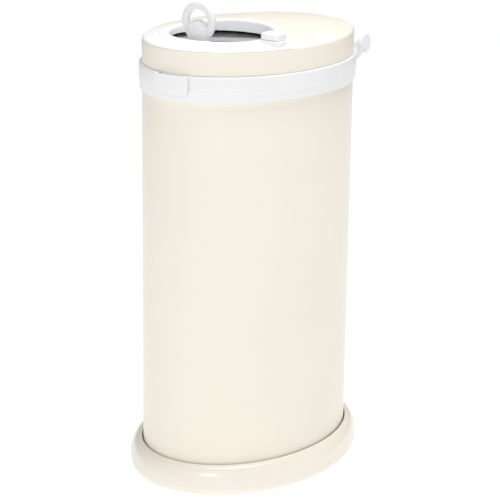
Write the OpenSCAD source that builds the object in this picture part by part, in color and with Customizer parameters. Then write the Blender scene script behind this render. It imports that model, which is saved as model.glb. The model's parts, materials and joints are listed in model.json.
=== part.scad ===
// Oval nappy bin: a painted steel body on a plastic base, with a hinged lid.
// A steel door under a ring handle slides back inside the lid to open the chute.
// Millimetres. The origin is on the floor under the middle of the body.
// X runs side to side, +Y to the hinge at the back, +Z up. The latch faces -Y.

/* [Body] */
// Outside width of the steel body, side to side
body_w = 235; // [229:1:262]
// Outside length of the steel body, front to back
body_l = 318; // [310:1:350]
// Height of the body's top edge above the floor
body_top = 500; // [380:5:620]
// Thickness of the body's steel sheet
shell_t = 1; // [0.7:0.1:1.5]
// Width of the flanges turned inwards at the top and foot of the body
flange_w = 13; // [12:0.5:16]

/* [Base] */
// Thickness of the rubber foot pads
foot_h = 2; // [1.5:0.5:4]
// Radius of the rubber foot pads
foot_r = 10; // [6:0.5:11]
// Height of the base skirt's top lip above the floor
skirt_h = 38; // [32:1:50]
// How far the base skirt stands out beyond the body
skirt_out = 17; // [12:1:24]
// Width of the visible gap between the skirt's lip and the body
skirt_gap = 1.6; // [1:0.1:3]
// Wall thickness of the moulded skirt
skirt_wall = 2.8; // [2:0.1:3.2]
// Thickness of the shelf that the body stands on
shelf_t = 4; // [3.5:0.25:6]
// Thickness of the floor pan
pan_t = 2.5; // [2:0.25:4]

/* [Rim] */
// Height of the white rim
rim_h = 32; // [28:1:40]
// Height of the rim's lower, narrower step
rim_step_h = 12; // [9:0.5:14]
// How far the rim's upper band stands out beyond the body
rim_out = 3.8; // [3.4:0.1:5]
// How far the rim's lower step stands out beyond the body
rim_low = 3; // [1.5:0.1:3.2]
// Width of the rim's top face inside the body's outline
rim_in = 9; // [8:0.5:10]
// Width of the ledge that carries the bag ring
ledge_w = 5; // [4:0.5:7]
// Wall thickness of the moulded rim
rim_wall = 3; // [2.5:0.1:3.5]
// How far the bag ring stands in from the ledge
bag_ring_in = 6; // [4:0.5:9]
// Height of the bag ring's hanging wall
bag_ring_h = 24; // [15:1:26]

/* [Lid] */
// Height of the lid's side wall and rounded edge
lid_h = 31; // [30:0.5:40]
// Gap between the rim and the closed lid
lid_gap = 0.6; // [0.4:0.1:1.5]
// Thickness of the lid cover's steel sheet
cover_t = 1.2; // [0.8:0.1:1.6]
// Radius of the lid's rounded top edge
lid_edge_r = 5; // [3:0.5:8]
// Rise of the deck from its edge to the opening
crown = 3; // [1:0.5:6]
// Further rise of the deck towards the back of the opening
rear_rise = 7; // [0:0.5:9]
// Front to back place where the white frame meets the painted cover
frame_y = -62; // [-75:1:-50]
// Thickness of the white frame
frame_t = 3; // [2:0.25:4]
// Thickness of the lid tray
tray_t = 2.7; // [2:0.1:4]

/* [Opening and door] */
// Half width of the opening in the deck
open_a = 68; // [64:0.5:72]
// Width of the deck ahead of the opening
open_front = 36; // [34:0.5:42]
// Length of the deck behind the opening, which the open door slides under
open_back = 157; // [150:0.5:162]
// Width of the white bezel round the opening
bezel_w = 11; // [6:0.5:14]
// Depth of the closed door below the deck's front edge
well_d = 5; // [4:0.5:7]
// How far the door reaches out under the collar all round
door_lap = 4; // [3.2:0.2:6]
// Thickness of the steel door
door_t = 1.5; // [1:0.1:2]
// Thickness of the plastic carrier under the door
carrier_t = 4.5; // [3.5:0.25:6]
// Travel of the door
door_travel = 90; // [60:1:92]
// Half width of the chute
chute_a = 58; // [45:0.5:60]
// Wall thickness of the chute
chute_wall = 4; // [3:0.25:5]
// Depth that the chute hangs below the tray
chute_drop = 22; // [10:1:40]

/* [Ring handle] */
// Outer radius of the ring
ring_r = 24.5; // [20:0.5:27]
// Width of the ring's band
ring_band = 9.7; // [7:0.1:11]
// Thickness of the ring, front to back
ring_t = 8; // [6:0.5:10]
// Distance of the closed door's ring behind the opening's front edge
ring_set = 17; // [15:0.5:23]
// Height from the door to the ring's top
ring_h = 54; // [50:1:62]
// Radius of the grey disc in the foot of the ring
disc_r = 14; // [10:0.5:14.5]

/* [Lock and latch] */
// Place of the child lock, front to back
lock_y = -70; // [-74:1:-66]
// Travel of the child lock
lock_travel = 8; // [6:0.5:9]
// Width of the latch tab
latch_w = 52; // [44:1:60]
// Height of the latch tab
latch_h = 24; // [22:0.5:24]
// Height of the latch tab's lower edge above the body's top
latch_up = 8; // [7:0.5:8]
// Height of the latch pin above the body's top
latch_pin_up = 14; // [13:0.5:15]
// Radius of the latch pin
latch_pin_r = 1.25; // [1:0.05:1.5]

/* [Hinge] */
// Distance of the hinge axis behind the body
hinge_back = 16; // [14.5:0.5:20]
// Height of the hinge axis below the rim's top
hinge_down = 3; // [0:0.5:4]
// Radius of the hinge barrel
barrel_r = 11.5; // [9:0.5:11.5]
// Radius of the hinge pin
hinge_pin_r = 3; // [2:0.25:4]
// Half width of the lid's hinge knuckle
knuckle_w = 45.5; // [35:0.5:50]
// Width of each hinge ear
ear_w = 14; // [10:0.5:16]

/* [Screws and fits] */
// Radius of the screws' shanks
screw_r = 1.8; // [1.5:0.05:2]
// Radius of the screws' heads
head_r = 3.5; // [3:0.1:3.8]
// Height of the screws' heads
head_h = 2; // [1.5:0.1:2.4]
// Length of the lid's screws under their heads
lid_screw_l = 14; // [12:0.5:15]
// Length of the rim's screws under their heads
rim_screw_l = 11; // [9:0.5:11]
// Length of the base's screws under their heads
base_screw_l = 12; // [9:0.5:12]
// Radial clearance of a pin that turns in its hole
pin_clear = 0.05; // [0.03:0.01:0.1]
// Clearance between pieces that seat or slide
fit = 0.3; // [0.2:0.05:0.5]

/* [Hidden] */

steps = 72;          // straight sides that make one turn of an oval
round_fn = 48;       // sides of a turned piece in a preview
over = 1;            // how far a cutting shape passes a face

cream = [0.98, 0.95, 0.88];
white = [0.95, 0.95, 0.96];
steel = [0.62, 0.63, 0.65];
rubber = [0.22, 0.22, 0.23];
grey = [0.84, 0.84, 0.85];

body_a = body_w / 2;
body_b = body_l / 2;

// Heights of the base
shelf_z = foot_h + shelf_t;
pan_z = shelf_z + shell_t;
boss_r = screw_r + 3;
base_boss_h = base_screw_l;
base_screw_at = 7 + shell_t;     // how far in from the body's outline the screws stand
shelf_in = flange_w + 3;

// Heights of the rim
rim_top = body_top + rim_h;
ledge_z = rim_top - 6;
bag_flange_t = 3;
hem_w = 4;                       // the lid cover's turned-in lower edge
seal_w = rim_in - hem_w - 1;
seal_at = hem_w + 0.5;

// Heights of the lid
lid_z = rim_top + lid_gap;
hem_t = cover_t;
tray_z = lid_z + hem_t;
tray_top = tray_z + tray_t;
deck_z = lid_z + lid_h;                      // deck height at the rounded edge
wall_top = deck_z - lid_edge_r;
frame_cut_z = deck_z - 2.5;                  // the painted wall stops here under the frame
frame_rise = 0.7;                            // the frame stands this far above the painted deck
bezel_t = 1.8;
collar_t = 1.6;

// Half length and middle of the opening, between the deck's widths at the front and back
open_b = (body_l - open_front - open_back) / 2;
open_y = (open_front - open_back) / 2;

// Heights of the door
door_top = deck_z - well_d;
panel_z = door_top - door_t;
carrier_z = panel_z - carrier_t;
collar_z = door_top + 1.5;
door_a = open_a + door_lap;
door_b = open_b + door_lap;
carrier_in = 3;                              // the carrier is this much smaller than the door

// Chute: it ends where the open door's front edge stands
chute_margin = 10;
chute_front = open_y - door_b + chute_margin;
chute_back = open_y - door_b + door_travel - 2;
chute_b = (chute_back - chute_front) / 2;
chute_y = (chute_back + chute_front) / 2;
chute_top = carrier_z - 3.6;
seal_in = 0.5;                               // the door seal is set in from the chute's edges

// Runners and rails of the door
shoe_x = door_a + 5;
shoe_in = door_a - 9;
shoe_l = 50;                                 // length of the runners
shoe_y0 = lock_y - 8;
shoe_y1 = shoe_y0 + shoe_l;
shoe_t = 3.5;
rail_t = 3;
rail_x = shoe_x + 0.4;
rail_seat = 4;
rail_lip = 2.6;
bumper_l = 4;
rail_y0 = shoe_y0 - bumper_l - 2;
rail_y1 = shoe_y1 + door_travel + bumper_l + 2;

// Child lock: midway between the opening and the lid's side
function half_width(a, b, y) = a * sqrt(1 - pow(y / b, 2));
lock_x = (half_width(body_a, body_b, lock_y) + half_width(open_a, open_b, lock_y - open_y)) / 2 - 2;
lock_knob = [26, 20, 9.5];
lock_stem = [6, 7];
lock_land = [32, 24];
knob_back = (lock_y + lock_knob[1] / 2 - open_y) / open_b;
land_top = deck(1, asin(knob_back)) + bezel_t + fit;     // clears the bezel under the knob's back edge
land_bottom = frame_cut_z + 1.2;
bolt_w = 7.5;
bolt_tip = rail_x + 0.3;
window_w = bolt_w + 3;

// Screws of the lid: two pairs, mirrored side to side
lid_screw_y = lock_y - 25;
lid_screw_at = [[45, 33 - body_b], [half_width(body_a, body_b, lid_screw_y) - 16, lid_screw_y]];
post_r = screw_r + 2.2;

// Ring handle
ring_y = open_y - open_b + ring_set;
ring_z = door_top + ring_h - ring_r;
disc_rim = 1.6;
disc_z = door_top + disc_r + disc_rim + 0.5;
disc_out = 0.7;                  // the disc stands this far proud of the ring on both faces
neck_w = 2 * disc_r + 2;
neck_h = disc_r + 8;
foot = [neck_w + 4, 12, 5];
handle_screw_x = disc_r - 2.5;

// Latch: its nose catches a tongue that hangs from the lid into a recess in the rim
latch_face = rim_out + 4.7;
latch_t = 2.2;
latch_y = -(body_b + rim_out + 0.8);
latch_z0 = body_top + latch_up;
latch_z1 = latch_z0 + latch_h;
latch_pin_z = body_top + latch_pin_up;
lug_x = 8;
lug_w = 4;
lug_r = latch_pin_r + 0.8;
lug_gap = 0.3;
ear_x = lug_x + lug_w + 0.4;
ear_l = 4;
catch_w = 36;
catch_out = 1.6;
catch_t = 1.6;
catch_z = [rim_top - 8, rim_top - 5.5];
nose_z = [catch_z[1] + 0.4, catch_z[1] + 3.4];
recess_z = catch_z[0] - 2;
recess_y = hem_w - body_b;
pocket_d = 2;

// Hinge
hinge_y = body_b + hinge_back;
hinge_z = rim_top - hinge_down;
ear_x0 = knuckle_w + 0.5;
ear_x1 = ear_x0 + ear_w;
cap_t = 3;
cap_out = 1.5;                   // the caps stand this far proud of the barrel
arm_t = 7.5;
arm_in = 20;                     // the hinge arm reaches this far in from the body's back

// Points of an ellipse, grown by q, and the same ring lifted to a height
function oval(a, b, y = 0) = [for (i = [0:steps - 1])
    [a * cos(360 * i / steps), y + b * sin(360 * i / steps)]];
function level(o, z) = [for (p = oval(body_a + o, body_b + o)) [p[0], p[1], z]];

// A share s of the way from the lid's edge (0) to the opening (1), at angle t
function across(s, t) = [
    (body_a - lid_edge_r) * (1 - s) * cos(t) + open_a * s * cos(t),
    open_y * s + ((body_b - lid_edge_r) * (1 - s) + open_b * s) * sin(t)];
function deck(s, t) = deck_z + (1 - pow(1 - s, 2)) * (crown + rear_rise * pow((1 + sin(t)) / 2, 2));
function deck_ring(s, dz) = [for (i = [0:steps - 1]) let (t = 360 * i / steps)
    [each across(s, t), deck(s, t) + dz]];

// A ring q outside the opening, dz above the deck or, with z, at a fixed height
function share(q, t) = 1 - q / norm(across(0, t) - across(1, t));
function edge_ring(q, dz, z = undef) = [for (i = [0:steps - 1]) let (t = 360 * i / steps)
    [(open_a + q) * cos(t), open_y + (open_b + q) * sin(t), is_undef(z) ? deck(share(q, t), t) + dz : z]];

// Arc of n + 1 [offset, height] pairs about a centre, from one angle to another
function arc(o, z, ro, rz, from, to, n) = [for (k = [0:n]) let (u = from + (to - from) * k / n)
    [o + ro * cos(u), z + rz * sin(u)]];

// Closed skin through a closed row of rings: up the outside, inwards, and down the inside
module loft(rings) {
    n = len(rings);
    polyhedron([for (r = rings) each r],
        [for (k = [0:n - 1], i = [0:steps - 1])
            let (a = k * steps, b = (k + 1) % n * steps, j = (i + 1) % steps)
            each [[a + i, b + i, b + j], [a + i, b + j, a + j]]],
        convexity = 6);
}

module slab(a, b, z0, z1, y = 0)
    translate([0, 0, z0]) linear_extrude(z1 - z0) polygon(oval(a, b, y));

// Oval ring between two offsets from the body's outline
module band(outer, inner, z0, z1)
    translate([0, 0, z0]) linear_extrude(z1 - z0) difference() {
        polygon(oval(body_a + outer, body_b + outer));
        polygon(oval(body_a + inner, body_b + inner));
    }

module block(x, y, z)
    translate([x[0], y[0], z[0]]) cube([x[1] - x[0], y[1] - y[0], z[1] - z[0]]);

module post(at, r, z0, z1)
    translate([at[0], at[1], z0]) cylinder(r = r, h = z1 - z0, $fn = round_fn);

module along_x(r, x0, x1, y, z)
    translate([x0, y, z]) rotate([0, 90, 0]) cylinder(r = r, h = x1 - x0, $fn = round_fn);

module both_sides() {
    children();
    mirror([1, 0, 0]) children();
}

// Four places at 45 degrees round an oval that is offset from the body's outline
function corners(o) = [for (t = [45:90:315]) [(body_a + o) * cos(t), (body_b + o) * sin(t)]];

// Screw that points up: its head's underside is at z
module screw(at, z, length) {
    difference() {
        post(at, head_r, z - head_h, z);
        translate([at[0], at[1], z - head_h]) cube([head_r * 1.3, 0.8, 2], center = true);
    }
    post(at, screw_r, z, z + length);
}

// Rectangle with round corners
function rounded(w, l, r, n = 5) = [for (c = [[1, 1, 0], [-1, 1, 90], [-1, -1, 180], [1, -1, 270]])
    each [for (k = [0:n]) let (u = c[2] + 90 * k / n)
        [c[0] * (w / 2 - r) + r * cos(u), c[1] * (l / 2 - r) + r * sin(u)]]];

// ---- Base ----

module base_skirt() color(cream) {
    wide_z = foot_h + 12;                    // height where the skirt is widest
    lip_o = skirt_gap + 0.8;
    drop = skirt_h - wide_z;
    outside = concat(
        arc(skirt_out - 4.5, wide_z, 4.5, 12, -90, 0, 3),
        arc(lip_o, wide_z, skirt_out - lip_o, drop, 15, 90, 5));
    inside = concat(
        arc(lip_o, wide_z, skirt_out - lip_o - skirt_wall, drop - skirt_wall, 60, 0, 3),
        [[skirt_out - 4.5 - skirt_wall, foot_h]]);
    profile = concat(outside, [
        [skirt_gap, skirt_h - 0.5], [skirt_gap, skirt_h - 7], [fit, skirt_h - 8], [fit, shelf_z],
        [-shelf_in, shelf_z], [-shelf_in, foot_h], [fit + skirt_wall, foot_h],
        [fit + skirt_wall, skirt_h - 13]], inside);
    difference() {
        loft([for (p = profile) level(p[0], p[1])]);
        for (at = corners(-base_screw_at)) {
            post(at, screw_r + fit, foot_h - over, shelf_z + over);
            post(at, head_r + fit, foot_h - over, foot_h + head_h + fit);
        }
    }
}

module base_pan() color(white) {
    difference() {
        union() {
            slab(body_a - shell_t - 1, body_b - shell_t - 1, pan_z, pan_z + pan_t);
            for (at = corners(-base_screw_at)) post(at, boss_r, pan_z, pan_z + base_boss_h);
            post([0, 0], foot_r + 4, foot_h, pan_z + pan_t);
        }
        for (at = corners(-base_screw_at))
            post(at, screw_r + pin_clear, pan_z - over, pan_z + base_boss_h - 2);
    }
}

module foot_pads() color(rubber) {
    for (t = [20, 160, 200, 340])
        post([(body_a - 2) * cos(t), (body_b - 2) * sin(t)], foot_r, 0, foot_h);
    for (y = [-1, 1]) post([0, y * (body_b - 2)], foot_r, 0, foot_h);
    post([0, 0], foot_r, 0, foot_h);
}

module base_screws() color(steel)
    for (at = corners(-base_screw_at)) screw(at, foot_h + head_h + fit, base_screw_l);

module base_seal() color(rubber)
    band(skirt_gap - 0.2, 0.15, skirt_h - 7 + 0.1, skirt_h - 2.5);

module body_shell() color(cream) {
    difference() {
        union() {
            band(0, -shell_t, shelf_z, body_top);
            band(-shell_t / 2, -flange_w, shelf_z, pan_z);
            band(-shell_t / 2, -flange_w, body_top - shell_t, body_top);
        }
        for (at = corners(-base_screw_at)) post(at, screw_r + fit, shelf_z - over, pan_z + over);
        for (at = corners(-base_screw_at))
            post(at, screw_r + fit, body_top - shell_t - over, body_top + over);
    }
}

// ---- Rim ----

module hinge_ear() {
    along_x(barrel_r, ear_x0, ear_x1, hinge_y, hinge_z);
    reach = half_width(body_b + rim_out, body_a + rim_out, ear_x1) - 3;
    block([ear_x0, ear_x1], [reach, hinge_y], [hinge_z - barrel_r, rim_top]);
    translate([ear_x0, 0, 0]) rotate([90, 0, 90]) linear_extrude(ear_w) polygon([
        [reach, body_top + 1], [reach + 4.5, body_top + 1],
        [hinge_y + barrel_r * 0.6, hinge_z - barrel_r * 0.8], [reach, hinge_z]]);
}

module rim_ring() color(white) {
    step_z = body_top + rim_step_h;
    inner = -(rim_in + ledge_w);
    foot_o = -4;                             // the rim's foot reaches in this far over the body
    profile = [
        [rim_low - 0.6, body_top], [rim_low, body_top + 0.6], [rim_low, step_z - 0.5],
        [rim_out, step_z + 0.3], [rim_out, rim_top - 1.5], [rim_out - 0.45, rim_top - 0.45],
        [rim_out - 1.5, rim_top], [-rim_in, rim_top], [-rim_in, ledge_z], [inner, ledge_z],
        [inner, body_top], [inner + rim_wall, body_top], [inner + rim_wall, ledge_z - rim_wall],
        [rim_wall - rim_in, ledge_z - rim_wall], [rim_wall - rim_in, rim_top - rim_wall],
        [rim_out - rim_wall, rim_top - rim_wall], [rim_out - rim_wall, step_z + 1],
        [rim_low - rim_wall, step_z - 1], [rim_low - rim_wall, body_top + 2.5],
        [foot_o, body_top + 2.5], [foot_o, body_top]];
    difference() {
        union() {
            difference() {
                loft([for (p = profile) level(p[0], p[1])]);
                block([-latch_w / 2, latch_w / 2], [-body_b - rim_out - 5, -body_b - rim_out + pocket_d],
                    [latch_pin_z - 4, latch_pin_z + 4]);
                block([-catch_w / 2 - 1.2, catch_w / 2 + 1.2], [-body_b - rim_out - 5, recess_y],
                    [recess_z, rim_top + over]);
            }
            for (at = corners(-base_screw_at)) post(at, boss_r - 1.2, body_top, ledge_z - 1);
            both_sides() hinge_ear();
            both_sides() {
                along_x(lug_r, lug_x, lug_x + lug_w, latch_y, latch_pin_z);
                block([lug_x, lug_x + lug_w], [latch_y, -body_b + 1],
                    [latch_pin_z - lug_r, latch_pin_z + lug_r]);
            }
        }
        for (at = corners(-base_screw_at))
            post(at, screw_r + pin_clear, body_top - over, body_top + rim_screw_l + 1);
        along_x(hinge_pin_r + pin_clear, -ear_x1 - over, ear_x1 + over, hinge_y, hinge_z);
        along_x(latch_pin_r + pin_clear, -ear_x, ear_x, latch_y, latch_pin_z);
    }
}

module rim_screws() color(steel)
    for (at = corners(-base_screw_at)) screw(at, body_top - shell_t, rim_screw_l);

module rim_seal() color(rubber)
    band(-seal_at, -seal_at - seal_w, rim_top, tray_z - fit);

module bag_ring() color(white) {
    inner = -(rim_in + ledge_w + bag_ring_in);
    band(-rim_in - 0.4, inner, ledge_z, ledge_z + bag_flange_t);
    band(inner + 3, inner, ledge_z - bag_ring_h, ledge_z + bag_flange_t);
}

module hinge_pin() color(steel)
    along_x(hinge_pin_r, -ear_x1, ear_x1, hinge_y, hinge_z);

module hinge_caps() color(white)
    both_sides() along_x(barrel_r + cap_out, ear_x1, ear_x1 + cap_t, hinge_y, hinge_z);

// ---- Latch ----

// Curved plate that follows the body's front between two offsets
module front_plate(outer, inner, w, z)
    intersection() {
        band(outer, inner, z[0], z[1]);
        block([-w / 2, w / 2], [-body_b - outer - 5, 0], [z[0] - over, z[1] + over]);
    }

module latch_lever() color(white)
    difference() {
        union() {
            front_plate(latch_face, latch_face - latch_t, latch_w, [latch_z0, latch_z1]);
            front_plate(latch_face - 1, catch_out + fit, catch_w, nose_z);
            both_sides() block([ear_x, ear_x + ear_l], [-body_b - latch_face + 2.4, latch_y + lug_r],
                [latch_pin_z - lug_r, latch_pin_z + lug_r]);
        }
        along_x(latch_pin_r + pin_clear, -ear_x - ear_l - over, ear_x + ear_l + over, latch_y, latch_pin_z);
        block([-ear_x, ear_x], [latch_y - lug_r - lug_gap, 0],
            [latch_pin_z - lug_r - lug_gap, latch_pin_z + lug_r + lug_gap]);
    }

module latch_pin() color(steel)
    along_x(latch_pin_r, -ear_x - ear_l, ear_x + ear_l, latch_y, latch_pin_z);

module latch_spring() color(steel)
    difference() {
        along_x(latch_pin_r + 0.8, -lug_x + fit, lug_x - fit, latch_y, latch_pin_z);
        along_x(latch_pin_r + pin_clear, -lug_x, lug_x, latch_y, latch_pin_z);
    }

// ---- Lid ----

shares = [0.12, 0.28, 0.46, 0.66, 0.85, 1];

module lid_cover() color(cream) {
    edge = arc(-lid_edge_r, wall_top, lid_edge_r, lid_edge_r, 0, 90, 3);
    under = arc(-lid_edge_r, wall_top, lid_edge_r - cover_t, lid_edge_r - cover_t, 90, 0, 2);
    difference() {
        loft(concat(
            [level(0, lid_z)],
            [for (p = edge) level(p[0], p[1])],
            [for (s = shares) deck_ring(s, 0)],
            [for (k = [len(shares) - 1:-1:0]) deck_ring(shares[k], -cover_t)],
            [for (p = under) level(p[0], p[1])],
            [level(-cover_t, tray_z), level(-hem_w, tray_z), level(-hem_w, lid_z)]));
        block([-body_w, body_w], [-body_l, frame_y], [frame_cut_z, deck_z + 30]);
        block([-knuckle_w - 0.6, knuckle_w + 0.6], [body_b - arm_in - 5, body_b + 5],
            [lid_z - over, tray_z + arm_t + 1]);
    }
}

module lid_frame() color(white) {
    edge = arc(-lid_edge_r - 0.2, wall_top + frame_rise, lid_edge_r, lid_edge_r, 30, 90, 3);
    plate_z = frame_cut_z + fit;
    difference() {
        union() {
            intersection() {
                loft(concat(
                    [level(-0.3, plate_z)],
                    [for (p = edge) level(p[0], p[1])],
                    [for (s = shares) deck_ring(s, frame_rise)],
                    [for (k = [len(shares) - 1:-1:0]) deck_ring(shares[k], frame_rise - frame_t)],
                    [level(-lid_edge_r - 0.5, plate_z)]));
                block([-body_w, body_w], [-body_l, frame_y - fit], [plate_z - 5, deck_z + 30]);
            }
            loft([
                edge_ring(bezel_w, 0.1), edge_ring(bezel_w - 0.8, bezel_t - 0.5), edge_ring(2, bezel_t),
                edge_ring(-1, bezel_t - 0.3), edge_ring(-collar_t - fit, bezel_t - 1.4),
                edge_ring(-collar_t - fit, 0, collar_z), edge_ring(-fit, 0, collar_z),
                edge_ring(-fit, 0.1)]);
            both_sides() for (at = lid_screw_at) post(at, post_r, tray_top, deck_z);
            block([lock_x - lock_land[0] / 2, lock_x + lock_land[0] / 2],
                [lock_y - lock_land[1] / 2, min(lock_y + lock_land[1] / 2, frame_y - fit)],
                [land_bottom, land_top]);
        }
        both_sides() for (at = lid_screw_at)
            post(at, screw_r + pin_clear, tray_top - over, tray_top + lid_screw_l);
        block([lock_x - lock_stem[0] / 2 - lock_travel - 0.5, lock_x + lock_stem[0] / 2 + 0.5],
            [lock_y - lock_stem[1] / 2 - fit, lock_y + lock_stem[1] / 2 + fit],
            [deck_z - 10, deck_z + 30]);
    }
}

module rail() {
    y = [rail_y0, rail_y1];
    block([rail_x - 1.5, rail_x + rail_t], y, [tray_z + 0.5, carrier_z - 1]);
    block([rail_x, rail_x + rail_t], y, [carrier_z - 2, carrier_z + shoe_t + fit + 2.5]);
    block([rail_x - rail_seat, rail_x + rail_t], y, [carrier_z - 4.5, carrier_z - fit]);
    block([rail_x - rail_lip, rail_x + rail_t], y,
        [carrier_z + shoe_t + fit, carrier_z + shoe_t + fit + 2.5]);
}

module lid_tray() color(white) {
    difference() {
        union() {
            slab(body_a - cover_t - 0.4, body_b - cover_t - 0.4, tray_z, tray_top);
            slab(chute_a + chute_wall, chute_b + chute_wall, tray_z - chute_drop, chute_top, chute_y);
            both_sides() rail();
            block([-knuckle_w, knuckle_w], [body_b - arm_in, hinge_y], [tray_z, tray_z + arm_t]);
            along_x(barrel_r, -knuckle_w, knuckle_w, hinge_y, hinge_z);
        }
        slab(chute_a, chute_b, tray_z - chute_drop - over, chute_top + over, chute_y);
        both_sides() for (at = lid_screw_at) post(at, screw_r + fit, tray_z - over, tray_top + over);
        along_x(hinge_pin_r + pin_clear, -knuckle_w - over, knuckle_w + over, hinge_y, hinge_z);
        block([rail_x - rail_seat - over, rail_x + rail_t + over],
            [lock_y - window_w / 2, lock_y + window_w / 2], [carrier_z - fit, deck_z]);
    }
}

module lid_screws() color(steel)
    both_sides() for (at = lid_screw_at) screw(at, tray_z, lid_screw_l);

module latch_catch() color(white) {
    front_plate(catch_out, -catch_t - 0.2, catch_w, catch_z);
    front_plate(-0.2, -catch_t - 0.2, catch_w, [catch_z[0], lid_z - 0.05]);
}

module door_seal() color(rubber)
    translate([0, 0, chute_top]) linear_extrude(carrier_z - fit - chute_top) difference() {
        polygon(oval(chute_a + chute_wall - seal_in, chute_b + chute_wall - seal_in, chute_y));
        polygon(oval(chute_a + seal_in, chute_b + seal_in, chute_y));
    }

module door_bumpers() color(rubber)
    both_sides() {
        x = [rail_x - rail_seat + 0.5, rail_x - 0.1];
        z = [carrier_z - fit, carrier_z + shoe_t];
        block(x, [shoe_y0 - fit - bumper_l, shoe_y0 - fit], z);
        block(x, [shoe_y1 + door_travel + fit, shoe_y1 + door_travel + fit + bumper_l], z);
    }

// ---- Door ----

module handle_holes(r, z0, z1)
    both_sides() post([handle_screw_x, ring_y], r, z0, z1);

module door_panel() color(steel)
    difference() {
        slab(door_a, door_b, panel_z, door_top, open_y);
        handle_holes(screw_r + fit, panel_z - over, door_top + over);
    }

module door_carrier() color(white)
    difference() {
        union() {
            slab(door_a - carrier_in, door_b - carrier_in, carrier_z, panel_z, open_y);
            both_sides() block([shoe_in - 12, shoe_x], [shoe_y0, shoe_y1], [carrier_z, carrier_z + shoe_t]);
        }
        block([bolt_tip - lock_travel - 1.2, shoe_x + over],
            [lock_y - bolt_w / 2 - 0.8, lock_y + bolt_w / 2 + 0.8], [carrier_z - over, panel_z + over]);
        handle_holes(screw_r + fit, carrier_z - over, panel_z + over);
        handle_holes(head_r + fit, carrier_z - over, carrier_z + head_h + fit);
    }

module ring_handle() color(white)
    difference() {
        union() {
            translate([0, ring_y + ring_t / 2, 0]) rotate([90, 0, 0]) linear_extrude(ring_t)
                difference() {
                    union() {
                        translate([0, ring_z]) circle(r = ring_r, $fn = 96);
                        translate([0, disc_z]) circle(r = disc_r + disc_rim, $fn = 96);
                        translate([-neck_w / 2, door_top]) square([neck_w, neck_h]);
                    }
                    difference() {
                        translate([0, ring_z]) circle(r = ring_r - ring_band, $fn = 96);
                        translate([0, disc_z]) circle(r = disc_r + disc_rim, $fn = 96);
                    }
                }
            block([-foot[0] / 2, foot[0] / 2], [ring_y - ring_t / 2, ring_y - ring_t / 2 + foot[1]],
                [door_top, door_top + foot[2]]);
        }
        translate([0, ring_y + ring_t / 2 + disc_out + 0.2, disc_z]) rotate([90, 0, 0])
            cylinder(r = disc_r + 0.2, h = 2 * ring_t, $fn = 96);
        handle_holes(screw_r + pin_clear, door_top - over, door_top + foot[2]);
    }

module handle_disc() color(grey)
    translate([0, ring_y + ring_t / 2 + disc_out, disc_z]) rotate([90, 0, 0])
        cylinder(r = disc_r, h = ring_t + 2 * disc_out, $fn = 96);

module handle_screws() color(steel)
    both_sides() screw([handle_screw_x, ring_y], carrier_z + head_h + fit / 2,
        door_top + foot[2] - 1 - carrier_z - head_h);

// ---- Child lock ----

module lock_slider() color(white) {
    translate([lock_x, lock_y, land_top + fit]) linear_extrude(lock_knob[2])
        polygon(rounded(lock_knob[0], lock_knob[1], 4));
    block([lock_x - lock_stem[0] / 2, lock_x + lock_stem[0] / 2],
        [lock_y - lock_stem[1] / 2, lock_y + lock_stem[1] / 2], [carrier_z + fit, land_top + 1]);
    block([bolt_tip, lock_x + lock_stem[0] / 2], [lock_y - bolt_w / 2, lock_y + bolt_w / 2],
        [carrier_z + fit, panel_z - fit]);
}

module lock_retainer() color(steel)
    difference() {
        translate([lock_x, lock_y, land_bottom - fit - 1.2]) linear_extrude(1.2)
            polygon(rounded(lock_stem[0] + 9, lock_land[1] - 6, 2));
        block([lock_x - lock_stem[0] / 2 - 0.1, lock_x + lock_stem[0] / 2 + 0.1],
            [lock_y - lock_stem[1] / 2 - 0.1, lock_y + lock_stem[1] / 2 + 0.1],
            [land_bottom - 5, land_bottom + 5]);
    }

base_skirt();
base_pan();
foot_pads();
base_screws();
base_seal();
body_shell();
rim_ring();
rim_screws();
rim_seal();
bag_ring();
hinge_pin();
hinge_caps();
latch_lever();
latch_pin();
latch_spring();
lid_cover();
lid_frame();
lid_tray();
lid_screws();
latch_catch();
door_seal();
door_bumpers();
door_panel();
door_carrier();
ring_handle();
handle_disc();
handle_screws();
lock_slider();
lock_retainer();
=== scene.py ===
"""Looks for the oval nappy bin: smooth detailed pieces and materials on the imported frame.

Lengths in this script are millimetres; mesh_object() turns them into metres.
"""
import json
import math

import bmesh
import bpy
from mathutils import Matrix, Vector


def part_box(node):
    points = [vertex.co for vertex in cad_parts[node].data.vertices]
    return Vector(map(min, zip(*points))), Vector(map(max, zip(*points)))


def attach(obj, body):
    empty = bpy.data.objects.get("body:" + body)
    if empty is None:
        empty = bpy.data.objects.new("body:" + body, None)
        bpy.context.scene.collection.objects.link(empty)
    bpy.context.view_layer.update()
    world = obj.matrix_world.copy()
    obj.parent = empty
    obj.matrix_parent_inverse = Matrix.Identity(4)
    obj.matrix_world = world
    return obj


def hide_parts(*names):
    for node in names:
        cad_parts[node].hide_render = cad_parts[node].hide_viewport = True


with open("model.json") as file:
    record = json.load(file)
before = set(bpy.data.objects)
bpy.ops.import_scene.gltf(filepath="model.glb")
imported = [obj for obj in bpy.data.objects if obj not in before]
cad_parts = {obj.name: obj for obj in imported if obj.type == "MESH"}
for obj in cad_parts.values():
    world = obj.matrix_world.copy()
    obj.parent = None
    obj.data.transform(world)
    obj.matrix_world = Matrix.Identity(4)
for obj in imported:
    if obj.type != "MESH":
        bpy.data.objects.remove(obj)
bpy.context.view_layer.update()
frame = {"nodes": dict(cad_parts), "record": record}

MM = 0.001
SEG = 288                                # sides of an oval
FIT = 0.3                                # clearance between pieces that seat or slide
FAR = 200                                # well past any face of the bin, for cutting blocks


def corners(node):
    """Lowest and highest corner of a CAD node, in millimetres."""
    return [[c / MM for c in corner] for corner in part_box(node)]


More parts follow.
